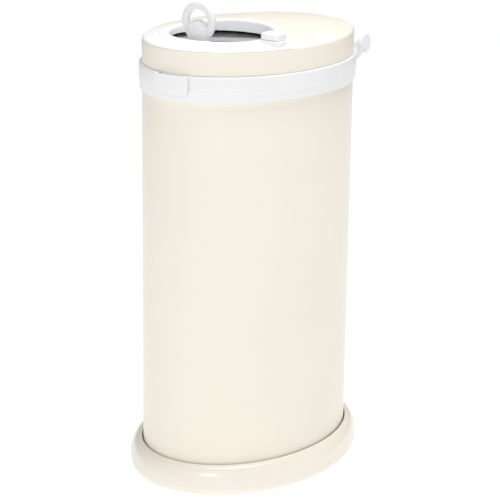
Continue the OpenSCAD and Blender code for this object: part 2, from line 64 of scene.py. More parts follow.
# ---- Values worked out from the frame ----

shell_lo, shell_hi = corners("body_shell")
A, B = shell_hi[0], shell_hi[1]          # half width and half length of the body
SHELF_Z, BODY_TOP = shell_lo[2], shell_hi[2]
SHELL_T = 1
FLANGE_W = 13

skirt_lo, skirt_hi = corners("base_skirt")
FOOT_H, SKIRT_TOP = skirt_lo[2], skirt_hi[2]
SKIRT_OUT = skirt_hi[0] - A
WIDE_Z = FOOT_H + 12
SKIRT_GAP = 1.6
SKIRT_WALL = 2.8
SHELF_IN = -(FLANGE_W + 3)
PAN_T = 2.5

RIM_TOP = corners("rim_seal")[0][2]
RIM_OUT, RIM_LOW, RIM_IN, RIM_WALL = 3.8, 3.0, 9, 3
RIM_STEP_Z = BODY_TOP + 12
BAG_Z = corners("bag_ring")[1][2]        # top of the bag ring
BAG_BOTTOM = corners("bag_ring")[0][2]
LEDGE_Z = BAG_Z - 3
LEDGE_IN = 14

LID_Z = corners("lid_cover")[0][2]
COVER_T, HEM_W = 1.2, 4
TRAY_Z = LID_Z + COVER_T
TRAY_TOP = TRAY_Z + 2.7
EDGE_R = 5
DECK_Z = LID_Z + 31
WALL_TOP = DECK_Z - EDGE_R
CROWN, REAR_RISE = 3, 7
FRAME_Y = -62
FRAME_CUT_Z = DECK_Z - 2.5
FRAME_RISE, FRAME_T = 0.7, 3
DIMPLE = (103, 8, 10, 15, 2.6)           # x, y, half width, half length and depth of the pressed recess

door_lo, door_hi = corners("door_panel")
DOOR_A, DOOR_B = door_hi[0], (door_hi[1] - door_lo[1]) / 2
OPEN_Y = (door_hi[1] + door_lo[1]) / 2
DOOR_LAP = 4                             # how far the door reaches out under the collar
OPEN_A, OPEN_B = DOOR_A - DOOR_LAP, DOOR_B - DOOR_LAP
PANEL_Z, DOOR_TOP = door_lo[2], door_hi[2]
COLLAR_Z = DOOR_TOP + 1.5
CARRIER_Z = corners("door_carrier")[0][2]

seal_lo, seal_hi = corners("door_seal")
CHUTE_WALL = 4
CHUTE_A = seal_hi[0] + 0.5 - CHUTE_WALL
CHUTE_B = (seal_hi[1] - seal_lo[1]) / 2 + 0.5 - CHUTE_WALL
CHUTE_Y = (seal_hi[1] + seal_lo[1]) / 2
CHUTE_TOP = seal_lo[2]
CHUTE_BOTTOM = TRAY_Z - 22

pin_lo, pin_hi = corners("hinge_pin")
HINGE_Y, HINGE_Z = (pin_lo[1] + pin_hi[1]) / 2, (pin_lo[2] + pin_hi[2]) / 2
EAR_X1 = pin_hi[0]
EAR_X0 = EAR_X1 - 14
KNUCKLE_X = EAR_X0 - 0.5
BARREL_R = 11.5
ARM_T, ARM_IN = 7.5, 20                  # thickness of the hinge arm, and its reach in from the body's back

latch_lo, latch_hi = corners("latch_lever")
LATCH_W = latch_hi[0] - latch_lo[0]
LATCH_FACE = -latch_lo[1] - B
LATCH_T = 2.2
lpin_lo, lpin_hi = corners("latch_pin")
LATCH_Y, LATCH_PIN_Z = (lpin_lo[1] + lpin_hi[1]) / 2, (lpin_lo[2] + lpin_hi[2]) / 2
CATCH_W = corners("latch_catch")[1][0] * 2
LUG_R, LUG_X = 2.05, (8, 12)             # the rim's latch lugs

ring_lo, ring_hi = corners("ring_handle")
RING_R, RING_BAND, RING_T = ring_hi[0], 9.7, 8
RING_Y = ring_lo[1] + RING_T / 2
RING_Z = ring_hi[2] - RING_R
disc_lo, disc_hi = corners("handle_disc")
DISC_R, DISC_Z = disc_hi[0], (disc_lo[2] + disc_hi[2]) / 2
DISC_T = disc_hi[1] - disc_lo[1]

lock_lo, lock_hi = corners("lock_slider")
KNOB_W, KNOB_L, KNOB_H = 26, 20, 9.5
LOCK_X, LOCK_Y = lock_hi[0] - KNOB_W / 2, (lock_lo[1] + lock_hi[1]) / 2
LAND_TOP = lock_hi[2] - KNOB_H - FIT     # top of the pad that the knob slides on
bumper_lo, bumper_hi = corners("door_bumpers")
RAIL_X = bumper_hi[0] + 0.1
RAIL_Y = (bumper_lo[1] - 1.7, bumper_hi[1] + 1.7)
BOLT_TIP = RAIL_X + FIT

screw_hi = corners("lid_screws")[1]
LID_SCREWS = [(45, 33 - B), (screw_hi[0] - 3.5, screw_hi[1] - 3.5)]
RIM_SCREWS = [((A - 8) * math.cos(t), (B - 8) * math.sin(t), 0)
              for t in map(math.radians, (45, 135, 225, 315))]


# ---- Mesh helpers ----

def mesh_object(name, verts, faces):
    mesh = bpy.data.meshes.new(name)
    mesh.from_pydata([tuple(c * MM for c in v) for v in verts], [], faces)
    bm = bmesh.new()
    bm.from_mesh(mesh)
    bmesh.ops.remove_doubles(bm, verts=bm.verts, dist=1e-7)
    bmesh.ops.recalc_face_normals(bm, faces=bm.faces)
    bm.to_mesh(mesh)
    bm.free()
    obj = bpy.data.objects.new(name, mesh)
    bpy.context.scene.collection.objects.link(obj)
    return obj


def bake(obj):
    """Applies the modifiers of obj to its mesh."""
    bpy.context.view_layer.update()
    graph = bpy.context.evaluated_depsgraph_get()
    mesh = bpy.data.meshes.new_from_object(obj.evaluated_get(graph))
    obj.modifiers.clear()
    obj.data = mesh
    return obj


def boolean(obj, other, operation="DIFFERENCE"):
    mod = obj.modifiers.new("cut", "BOOLEAN")
    mod.operation, mod.object, mod.solver = operation, other, "EXACT"
    bake(obj)
    bpy.data.objects.remove(other)
    return obj


def bevel(obj, width, segments=3, angle=35):
    mod = obj.modifiers.new("bevel", "BEVEL")
    mod.width, mod.segments = width * MM, segments
    mod.limit_method, mod.angle_limit = "ANGLE", math.radians(angle)
    return bake(obj)


def join(name, *objs):
    bm = bmesh.new()
    for o in objs:
        bm.from_mesh(o.data)
        bpy.data.objects.remove(o)
    mesh = bpy.data.meshes.new(name)
    bm.to_mesh(mesh)
    bm.free()
    obj = bpy.data.objects.new(name, mesh)
    bpy.context.scene.collection.objects.link(obj)
    return obj


def arc(u, v, ru, rv, start, end, n):
    return [(u + ru * math.cos(math.radians(start + (end - start) * k / n)),
             v + rv * math.sin(math.radians(start + (end - start) * k / n))) for k in range(n + 1)]


def rounded(points, n=5):
    """Closed outline of (u, v, radius) corners, each replaced by an arc of its radius."""
    out = []
    for i, (u, v, r) in enumerate(points):
        p = Vector((u, v, 0))
        if r <= 0:
            out.append((u, v))
            continue
        nxt = points[(i + 1) % len(points)]
        a = (Vector((*points[i - 1][:2], 0)) - p).normalized()
        b = (Vector((*nxt[:2], 0)) - p).normalized()
        half = a.angle(b) / 2
        centre = p + (a + b).normalized() * (r / math.sin(half))
        start, end = p + a * (r / math.tan(half)) - centre, p + b * (r / math.tan(half)) - centre
        turn = start.angle(end)
        for k in range(n + 1):
            q = (start * math.sin((1 - k / n) * turn) + end * math.sin(k / n * turn)) / math.sin(turn)
            out.append(((centre + q).x, (centre + q).y))
    return out


def skin(rings, closed=True, capped=False):
    """Vertices and faces of a skin through equal rings; closed joins the last ring to the first."""
    n = len(rings[0])
    verts = [v for r in rings for v in r]
    faces = []
    for k in range(len(rings) if closed else len(rings) - 1):
        a, b = k * n, (k + 1) % len(rings) * n
        faces += [(a + i, b + i, b + (i + 1) % n, a + (i + 1) % n) for i in range(n)]
    if capped:
        faces += [tuple(range(n))[::-1], tuple(range((len(rings) - 1) * n, len(rings) * n))]
    return verts, faces


def oval(a, b, y=0, z=0, seg=SEG):
    turn = [2 * math.pi * i / seg for i in range(seg)]
    return [(a * math.cos(t), y + b * math.sin(t), z) for t in turn]


def swept(name, profile, a=None, b=None, y=0):
    """Closed profile of (offset, z) swept round an oval, by default the body's."""
    a, b = A if a is None else a, B if b is None else b
    return mesh_object(name, *skin([oval(a + o, b + o, y, z) for o, z in profile]))


def swept_plate(name, profile, a, b, y=0):
    """Solid oval plate: an open profile of (offset, z), with flat caps at both ends."""
    return mesh_object(name, *skin([oval(a + o, b + o, y, z) for o, z in profile], False, True))


def prism(name, outline, axis, low, high):
    """Outline in the other two axes, extruded along one."""
    place = {"X": lambda u, v, w: (w, u, v), "Y": lambda u, v, w: (u, w, v),
             "Z": lambda u, v, w: (u, v, w)}[axis]
    return mesh_object(name, *skin([[place(u, v, w) for u, v in outline] for w in (low, high)], False, True))


def block(name, x, y, z):
    return prism(name, [(x[0], y[0]), (x[1], y[0]), (x[1], y[1]), (x[0], y[1])], "Z", *z)


def turned(name, profile, at, axis="Z", seg=64):
    """Solid of (radius, height) pairs turned about an axis through a point."""
    place = {"X": lambda u, v, w: (w, u, v), "Y": lambda u, v, w: (u, w, v),
             "Z": lambda u, v, w: (u, v, w)}[axis]
    rings = []
    for r, h in profile:
        ring = []
        for i in range(seg):
            t = 2 * math.pi * i / seg
            p = place(r * math.cos(t), r * math.sin(t), h)
            ring.append(tuple(c + d for c, d in zip(p, at)))
        rings.append(ring)
    return mesh_object(name, *skin(rings, False, True))


def rod_profile(r, h0, h1, edge=0.5, n=3):
    """Profile of a rod with rounded ends."""
    return (arc(r - edge, h0 + edge, edge, edge, -90, 0, n)
            + arc(r - edge, h1 - edge, edge, edge, 0, 90, n))


def stacked(name, outline, levels):
    """Pad whose outline(inset) is stacked through (inset, z) levels and capped."""
    rings = [[(x, y, z) for x, y in outline(inset)] for inset, z in levels]
    return mesh_object(name, *skin(rings, False, True))


def round_rect(x, y, w, l, r, n=8):
    """Function of an inset that gives a rectangle with round corners."""
    def outline(inset):
        u, v, rr = w / 2 - inset, l / 2 - inset, max(r - inset, 0.4)
        return rounded([(x + u, y - v, rr), (x + u, y + v, rr), (x - u, y + v, rr), (x - u, y - v, rr)], n)
    return outline


def mirrored(name, make):
    """One object of make(+1) and make(-1)."""
    return join(name, make(1), make(-1))


# ---- Materials ----

class Nodes:
    """Short way to add and link the nodes of one material."""

    def __init__(self, name):
        self.mat = bpy.data.materials.new(name)
        self.mat.use_nodes = True
        self.tree = self.mat.node_tree
        self.tree.nodes.clear()
        self.shader = self.add("ShaderNodeBsdfPrincipled")
        out = self.add("ShaderNodeOutputMaterial")
        self.link(self.shader.outputs[0], out.inputs["Surface"])
        self.place = self.add("ShaderNodeTexCoord").outputs["Object"]

    def add(self, kind, **values):
        node = self.tree.nodes.new(kind)
        for key, value in values.items():
            if hasattr(node, key):
                setattr(node, key, value)
            else:
                node.inputs[key].default_value = value
        return node

    def link(self, a, b):
        self.tree.links.new(a, b)

    def scaled(self, scale):
        node = self.add("ShaderNodeMapping")
        node.inputs["Scale"].default_value = scale
        self.link(self.place, node.inputs["Vector"])
        return node.outputs[0]

    def noise(self, scale, detail=2.0, rough=0.5, stretch=(1, 1, 1)):
        node = self.add("ShaderNodeTexNoise", Scale=scale, Detail=detail, Roughness=rough)
        self.link(self.scaled(stretch), node.inputs["Vector"])
        return node.outputs["Fac"]

    def ramp(self, fac, stops):
        node = self.add("ShaderNodeValToRGB")
        for i, (at, color) in enumerate(stops):
            stop = node.color_ramp.elements[i] if i < 2 else node.color_ramp.elements.new(at)
            stop.position, stop.color = at, (*color, 1)
        self.link(fac, node.inputs[0])
        return node.outputs[0]

    def span(self, fac, low, high, f0=0.3, f1=0.7):
        node = self.add("ShaderNodeMapRange")
        for key, value in (("From Min", f0), ("From Max", f1), ("To Min", low), ("To Max", high)):
            node.inputs[key].default_value = value
        self.link(fac, node.inputs["Value"])
        return node.outputs[0]

    def bump(self, heights):
        """Chain of bumps from (height, strength, distance in mm) rows."""
        last = None
        for height, strength, distance in heights:
            node = self.add("ShaderNodeBump", Strength=strength, Distance=distance * MM)
            self.link(height, node.inputs["Height"])
            if last:
                self.link(last, node.inputs["Normal"])
            last = node.outputs[0]
        self.link(last, self.shader.inputs["Normal"])


def shade(color, k):
    return tuple(min(1, c * k) for c in color)


def moulded(name, color, rough, grain, depth, drift=0.03):
    """Moulded plastic: slight drift of colour and gloss, fine grain of the tool's surface."""
    m = Nodes(name)
    broad = m.noise(18, 3)
    m.link(m.ramp(broad, [(0.35, shade(color, 1 - drift)), (0.65, shade(color, 1 + drift / 2))]),
           m.shader.inputs["Base Color"])
    m.link(m.span(m.noise(90, 4), rough - 0.05, rough + 0.06), m.shader.inputs["Roughness"])
    m.bump([(m.noise(grain, 2), 0.12, depth), (m.noise(45, 2), 0.03, 0.15)])
    return m.mat


def powder_coat(name, color):
    """Semi-gloss powder coat with orange peel.

    Roughness stays above 0.28 all over: the denoiser shows patches where it crosses 0.274.
    """
    m = Nodes(name)
    broad = m.noise(7, 3)
    m.link(m.ramp(broad, [(0.3, shade(color, 0.985)), (0.7, shade(color, 1.01))]),
           m.shader.inputs["Base Color"])
    m.link(m.span(m.noise(60, 5), 0.285, 0.36), m.shader.inputs["Roughness"])
    m.bump([(m.noise(420, 1), 0.04, 0.03), (m.noise(1500, 1), 0.02, 0.01)])
    return m.mat


def brushed(name, color, rough, along=(1, 60, 1), streak=0.2):
    """Metal with fine brush lines along X."""
    m = Nodes(name)
    m.shader.inputs["Metallic"].default_value = 1.0
    lines = m.noise(40, 6, 0.65, along)
    broad = m.noise(6, 2, 0.5, (1, 7, 1))
    m.link(m.ramp(broad, [(0.35, shade(color, 1 - streak)), (0.65, shade(color, 1 + streak))]),
           m.shader.inputs["Base Color"])
    m.link(m.span(lines, rough - 0.07, rough + 0.1), m.shader.inputs["Roughness"])
    m.bump([(lines, 0.2, 0.02)])
    return m.mat


def zinc(name, color):
    """Zinc-plated steel: mottled spangle and light scratches."""
    m = Nodes(name)
    m.shader.inputs["Metallic"].default_value = 1.0
    cells = m.add("ShaderNodeTexVoronoi", Scale=900.0)
    m.link(m.place, cells.inputs["Vector"])
    m.link(m.ramp(cells.outputs["Distance"], [(0.1, shade(color, 0.85)), (0.7, shade(color, 1.1))]),
           m.shader.inputs["Base Color"])
    m.link(m.span(m.noise(700, 3), 0.29, 0.45), m.shader.inputs["Roughness"])
    m.bump([(m.noise(1400, 3), 0.2, 0.02)])
    return m.mat


def rubber(name, color):
    """Matt rubber with a fine pebbled skin."""
    m = Nodes(name)
    m.link(m.ramp(m.noise(120, 4), [(0.3, shade(color, 0.8)), (0.7, shade(color, 1.25))]),
           m.shader.inputs["Base Color"])
    m.link(m.span(m.noise(300, 3), 0.65, 0.85), m.shader.inputs["Roughness"])
    cells = m.add("ShaderNodeTexVoronoi", Scale=1300.0)
    m.link(m.place, cells.inputs["Vector"])
    m.bump([(cells.outputs["Distance"], 0.35, 0.06)])
    return m.mat


def pebbled(name, color):
    """Light grey moulding with a coarse pebbled texture, with painted shade: the pits of the pebbles are
    coloured darker.
    """
    m = Nodes(name)
    cells = m.add("ShaderNodeTexVoronoi", Scale=620.0)
    m.link(m.place, cells.inputs["Vector"])
    # Painted shade: the cell distance that sets the pebbles' height also darkens their pits.
    m.link(m.ramp(cells.outputs["Distance"], [(0.05, shade(color, 0.86)), (0.6, shade(color, 1.05))]),
           m.shader.inputs["Base Color"])
    m.link(m.span(m.noise(200, 3), 0.5, 0.62), m.shader.inputs["Roughness"])
    m.bump([(cells.outputs["Distance"], 0.6, 0.25), (m.noise(1800, 2), 0.2, 0.02)])
    return m.mat


CREAM = (0.925, 0.870, 0.765)
WHITE = (0.895, 0.895, 0.905)

finishes = {
    "body_paint": powder_coat("body_paint", CREAM),
    "base_plastic": moulded("base_plastic", (0.93, 0.872, 0.772), 0.205, 900, 0.03, 0.012),
    "white_plastic": moulded("white_plastic", WHITE, 0.33, 1100, 0.03, 0.012),
    "inner_plastic": moulded("inner_plastic", (0.78, 0.78, 0.78), 0.5, 800, 0.06, 0.03),
    "handle_plastic": moulded("handle_plastic", (0.82, 0.82, 0.825), 0.36, 1100, 0.03, 0.012),
    "grey_plastic": pebbled("grey_plastic", (0.86, 0.86, 0.87)),
    "door_steel": brushed("door_steel", (0.70, 0.71, 0.725), 0.14, streak=0.06),
    "fastener_steel": zinc("fastener_steel", (0.55, 0.56, 0.58)),
    "dark_rubber": rubber("dark_rubber", (0.022, 0.022, 0.024)),
    "grey_rubber": rubber("grey_rubber", (0.27, 0.27, 0.275)),
}
slot_of = {row["node"]: row["material_slot"] for row in frame["record"]["subparts"]}


def piece(obj, body, slot, *nodes, sharp=38):
    """Finishes a piece: shading, material, the body it rides on, and hides the CAD nodes it stands for."""
    obj.data.shade_smooth()
    obj.data.set_sharp_from_angle(angle=math.radians(sharp))
    obj.data.materials.clear()
    obj.data.materials.append(finishes[slot])
    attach(obj, body)
    if nodes:
        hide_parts(*nodes)
    return obj


# ---- Base ----

def make_base():
    lip = SKIRT_GAP + 0.8
    drop = SKIRT_TOP - WIDE_Z
    outside = (arc(SKIRT_OUT - 4.5, WIDE_Z, 4.5, 12, -90, 0, 14)
               + arc(lip, WIDE_Z, SKIRT_OUT - lip, drop, 4, 84, 26)
               + arc(lip, SKIRT_TOP - 0.8, 0.9, 0.8, 75, 160, 5))
    inside = arc(lip, WIDE_Z, SKIRT_OUT - lip - SKIRT_WALL, drop - SKIRT_WALL, 60, 0, 10)
    profile = outside + [
        (SKIRT_GAP, SKIRT_TOP - 1.2), (SKIRT_GAP, SKIRT_TOP - 7), (FIT, SKIRT_TOP - 8), (FIT, SHELF_Z),
        (SHELF_IN, SHELF_Z), (SHELF_IN, FOOT_H), (FIT + SKIRT_WALL, FOOT_H),
        (FIT + SKIRT_WALL, SKIRT_TOP - 13)
    ] + inside + [(SKIRT_OUT - 4.5 - SKIRT_WALL, FOOT_H)]
    piece(swept("base_skirt_moulding", profile), "bin", "base_plastic", "base_skirt")

    # Rubber seal in the gap between skirt lip and body; its near-black colour also paints the shade of that
    # gap line (painted shade).
    lip_z = SKIRT_TOP - 6.9
    seal = rounded([(0.15, lip_z, 0), (1.4, lip_z, 0), (1.4, SKIRT_TOP - 2.5, 0.5),
                    (0.15, SKIRT_TOP - 2.5, 0.3)], 4)
    piece(swept("base_seal_and_gap_shade", seal), "bin", "dark_rubber", "base_seal")


def make_pan():
    z = corners("base_pan")[0][2]
    pan_z, top = SHELF_Z + SHELL_T, SHELF_Z + SHELL_T + PAN_T
    a, b = A - SHELL_T - 1, B - SHELL_T - 1
    plate = swept_plate("pan_plate", [(-0.5, pan_z), (0, pan_z + 0.5), (0, top - 1), (-1, top)]
                        + [(-14, top), (-16, top - 0.6), (-18, top - 0.6), (-20, top)], a, b)
    parts = [plate]
    for at in RIM_SCREWS:
        parts.append(turned("pan_boss", [(6.3, top - 0.5), (5.3, top + 0.4), (4.8, top + 1.5)]
                            + arc(4.0, pan_z + 11.2, 0.8, 0.8, 0, 90, 4), at, seg=40))
    parts.append(turned("pan_post", rod_profile(14, z, pan_z + 0.5), (0, 0, 0), seg=72))
    piece(join("base_pan_moulding", *parts), "bin", "inner_plastic", "base_pan")


# ---- Body ----

def make_body():
    top, foot, w, t = BODY_TOP, SHELF_Z, FLANGE_W, SHELL_T
    profile = rounded([
        (0, foot, 1.4), (0, top, 1.4), (-w, top, 0.3), (-w, top - t, 0.3), (-t, top - t, 0.4),
        (-t, foot + t, 0.4), (-w, foot + t, 0.3), (-w, foot, 0.3)], 6)
    piece(swept("body_shell_steel", profile), "bin", "body_paint", "body_shell")


# ---- Rim ----

def rim_section():
    inner = -LEDGE_IN
    return rounded([
        (RIM_LOW, BODY_TOP, 0.8), (RIM_LOW, RIM_STEP_Z - 0.6, 0.3), (RIM_OUT, RIM_STEP_Z + 0.3, 0.3),
        (RIM_OUT, RIM_TOP, 1.5), (-RIM_IN, RIM_TOP, 0.6), (-RIM_IN, LEDGE_Z, 0.5),
        (inner, LEDGE_Z, 0.7), (inner, BODY_TOP, 0.6), (inner + RIM_WALL, BODY_TOP, 0),
        (inner + RIM_WALL, LEDGE_Z - RIM_WALL, 0.5), (RIM_WALL - RIM_IN, LEDGE_Z - RIM_WALL, 0.5),
        (RIM_WALL - RIM_IN, RIM_TOP - RIM_WALL, 0.5), (RIM_OUT - RIM_WALL, RIM_TOP - RIM_WALL, 0.5),
        (RIM_OUT - RIM_WALL, RIM_STEP_Z + 1, 0), (RIM_LOW - RIM_WALL, RIM_STEP_Z - 1, 0),
        (RIM_LOW - RIM_WALL, BODY_TOP + 2.5, 0), (-4, BODY_TOP + 2.5, 0), (-4, BODY_TOP, 0)], 6)


def front_reach(x, o):
    """Y of the oval's front at x, offset by o."""
    return -(B + o) * math.sqrt(1 - (x / (A + o)) ** 2)


def front_band(name, outer, inner, w, z):
    """Curved block that follows the body's front between two offsets."""
    n = 36
    rows = []
    for k in range(n + 1):
        x = -w / 2 + w * k / n
        y0, y1 = front_reach(x, outer), front_reach(x, inner)
        rows.append([(x, y0, z[0]), (x, y1, z[0]), (x, y1, z[1]), (x, y0, z[1])])
    return mesh_object(name, *skin(rows, False, True))


def hinge_ear(side):
    """Ear that wraps the barrel and runs down the back of the rim."""
    reach = (B + RIM_OUT) * math.sqrt(1 - (EAR_X1 / (A + RIM_OUT)) ** 2) - 3
    foot_z = BODY_TOP + 1
    low = arc(HINGE_Y, HINGE_Z, BARREL_R, BARREL_R, -50, 112, 40)
    outline = low + [(reach + 6, RIM_TOP - 0.2), (reach, RIM_TOP - 0.2), (reach, foot_z),
                     (reach + 3.2, foot_z), (reach + 4.5, foot_z + 1.2)]
    x = sorted((side * EAR_X0, side * EAR_X1))
    return bevel(prism("ear", outline, "X", *x), 0.9, 3, 40)


def latch_lug(side):
    x = sorted(side * x for x in LUG_X)
    outline = (arc(LATCH_Y, LATCH_PIN_Z, LUG_R, LUG_R, 90, 270, 16)
               + [(-B + 1, LATCH_PIN_Z - LUG_R), (-B + 1, LATCH_PIN_Z + LUG_R)])
    return bevel(prism("lug", outline, "X", *x), 0.3, 2, 40)


def make_rim():
    ring = swept("rim", rim_section())
    boolean(ring, block("recess", (-CATCH_W / 2 - 1.2, CATCH_W / 2 + 1.2), (-B - 12, HEM_W - B),
                        (RIM_TOP - 10, RIM_TOP + 2)))
    boolean(ring, block("pocket", (-LATCH_W / 2, LATCH_W / 2), (-B - 12, -B - RIM_OUT + 2),
                        (LATCH_PIN_Z - 4, LATCH_PIN_Z + 4)))
    parts = [ring]
    parts += [turned("rim_boss", rod_profile(3.6, BODY_TOP, LEDGE_Z - 1), at, seg=32) for at in RIM_SCREWS]
    parts += [make(side) for make in (hinge_ear, latch_lug) for side in (1, -1)]
    piece(join("rim_ring_moulding", *parts), "bin", "white_plastic", "rim_ring")

    z0, z1 = RIM_TOP, TRAY_Z - FIT
    seal = rounded([(-8.5, z0, 0.2), (-4.5, z0, 0.2), (-4.5, z1, 0.6), (-8.5, z1, 0.6)], 4)
    piece(swept("rim_seal_ring", seal), "bin", "grey_rubber", "rim_seal")

    inner = -(LEDGE_IN + 6)
    ring = rounded([
        (-RIM_IN - 0.4, LEDGE_Z, 0.4), (-RIM_IN - 0.4, BAG_Z, 0.9), (inner, BAG_Z, 1.4),
        (inner, BAG_BOTTOM, 1.2), (inner + 3, BAG_BOTTOM, 1.2), (inner + 3, LEDGE_Z, 0.8)], 6)
    piece(swept("bag_ring_moulding", ring), "bin", "inner_plastic", "bag_ring")


def make_hinge_caps():
    cap_hi = corners("hinge_caps")[1]

    def cap(side):
        r, t = cap_hi[2] - HINGE_Z, cap_hi[0] - EAR_X1
        rim = ([(r - 0.4, 0), (r - 0.1, 0.15), (r, 0.5)] + arc(r - 1.4, t - 1.4, 1.4, 1.4, 0, 90, 6)
               + [(r - 3.0, t), (r - 3.5, t - 0.3), (r - 4.2, t - 0.35), (r - 4.8, t - 0.1), (0.2, t)])
        profile = [(radius, side * h) for radius, h in rim]
        return turned("cap", profile, (side * EAR_X1, HINGE_Y, HINGE_Z), "X", 72)
    piece(mirrored("hinge_cap_discs", cap), "bin", "white_plastic", "hinge_caps")


# ---- Latch ----

def make_latch():
    z0, z1 = latch_lo[2], latch_hi[2]
    face = front_band("face", LATCH_FACE, LATCH_FACE - LATCH_T, LATCH_W, (z0, z1))
    shape = prism("shape", round_rect(0, (z0 + z1) / 2, LATCH_W, z1 - z0, 4)(0), "Y", -B - 30, -B + 60)
    boolean(face, shape, "INTERSECT")
    gap = block("gap", (-12.4, 12.4), (LATCH_Y - 2.35, -B + 5), (LATCH_PIN_Z - 2.35, LATCH_PIN_Z + 2.35))
    boolean(face, gap)
    bevel(face, 0.7, 4, 50)
    nose_z = (RIM_TOP - 5.1, RIM_TOP - 2.1)
    nose = bevel(front_band("nose", LATCH_FACE - 1, 1.9, CATCH_W, nose_z), 0.5, 3, 50)

    def ear(side):
        x = sorted((side * 12.4, side * 16.4))
        return block("latch_ear", x, (-B - LATCH_FACE + 1.4, LATCH_Y + LUG_R),
                     (LATCH_PIN_Z - LUG_R, LATCH_PIN_Z + LUG_R))
    ears = bevel(mirrored("latch_ears", ear), 0.4, 3, 50)

    def rib(k):
        z = z1 - 3.4 - 2.1 * k
        return bevel(front_band("rib", LATCH_FACE, LATCH_FACE - 1, 26, (z - 0.4, z + 0.4)), 0.3, 2, 50)
    piece(join("latch_lever_tab", face, nose, ears, *[rib(k) for k in range(3)]),
          "latch", "white_plastic", "latch_lever")


def make_latch_spring():
    """Torsion spring coiled on the latch's pin."""
    curve = bpy.data.curves.new("latch_spring_coil", "CURVE")
    curve.dimensions = "3D"
    curve.bevel_depth, curve.bevel_resolution = 0.33 * MM, 3
    turns, per, radius, half = 9, 20, 1.65, 6.9
    spline = curve.splines.new("POLY")
    spline.points.add(turns * per)
    for i, point in enumerate(spline.points):
        t = 2 * math.pi * i / per
        x = -half + 2 * half * i / (turns * per)
        y, z = LATCH_Y + radius * math.cos(t), LATCH_PIN_Z + radius * math.sin(t)
        point.co = (x * MM, y * MM, z * MM, 1)
    coil = bpy.data.objects.new("latch_spring_coil", curve)
    mesh = bpy.data.meshes.new_from_object(coil)
    bpy.data.objects.remove(coil)
    coil = bpy.data.objects.new("latch_spring_coil", mesh)
    bpy.context.scene.collection.objects.link(coil)
    piece(coil, "bin", "fastener_steel", "latch_spring", sharp=60)


# ---- Lid ----

def across(s, t):
    return ((A - EDGE_R) * (1 - s) * math.cos(t) + OPEN_A * s * math.cos(t),
            OPEN_Y * s + ((B - EDGE_R) * (1 - s) + OPEN_B * s) * math.sin(t))


def deck(s, t):
    return DECK_Z + (1 - (1 - s) ** 2) * (CROWN + REAR_RISE * ((1 + math.sin(t)) / 2) ** 2)


def dent(x, y):
    """Depth of the pressed recess at a place on the deck."""
    cx, cy, hw, hl, depth = DIMPLE
    d = (abs((x - cx) / hw) ** 3 + abs((y - cy) / hl) ** 3) ** (1 / 3)
    u = min(1, max(0, (1.12 - d) / 0.3))
    return depth * u * u * (3 - 2 * u)


def deck_ring(s, dz, dented=False, seg=SEG):
    ring = []
    for i in range(seg):
        t = 2 * math.pi * i / seg
        x, y = across(s, t)
        ring.append((x, y, deck(s, t) + dz - (dent(x, y) if dented else 0)))
    return ring


def share(q, t):
    a, b = across(0, t), across(1, t)
    return 1 - q / math.hypot(a[0] - b[0], a[1] - b[1])


def edge_ring(q, dz, z=None):
    """Ring q outside the opening, dz above the deck or at a fixed height."""
    ring = []
    for i in range(SEG):
        t = 2 * math.pi * i / SEG
        ring.append(((OPEN_A + q) * math.cos(t), OPEN_Y + (OPEN_B + q) * math.sin(t),
                     deck(share(q, t), t) + dz if z is None else z))
    return ring


def make_cover():
    seg = 480
    level = lambda o, z: oval(A + o, B + o, 0, z, seg)
    edge = arc(-EDGE_R, WALL_TOP, EDGE_R, EDGE_R, 0, 90, 10)
    under = arc(-EDGE_R, WALL_TOP, EDGE_R - COVER_T, EDGE_R - COVER_T, 90, 0, 8)
    steps = [(k + 1) / 44 for k in range(44)]
    rings = [level(-0.15, LID_Z - 0.3), level(0, LID_Z - 0.15), level(0, LID_Z + 0.45)]
    rings += [level(*p) for p in edge]
    rings += [deck_ring(s, 0, True, seg) for s in steps]
    rings += [deck_ring(s, -COVER_T, True, seg) for s in reversed(steps)]
    rings += [level(*p) for p in under]
    rings += [level(-COVER_T, TRAY_Z), level(-HEM_W, TRAY_Z), level(-HEM_W, LID_Z)]
    cover = mesh_object("lid_cover_steel", *skin(rings))
    boolean(cover, block("front", (-FAR, FAR), (-FAR, FRAME_Y), (FRAME_CUT_Z, DECK_Z + 30)))
    boolean(cover, block("notch", (-KNUCKLE_X - 0.6, KNUCKLE_X + 0.6), (B - ARM_IN - 5, B + 5),
                         (LID_Z - 1, TRAY_Z + ARM_T + 1)))
    piece(cover, "lid", "body_paint", "lid_cover", sharp=42)


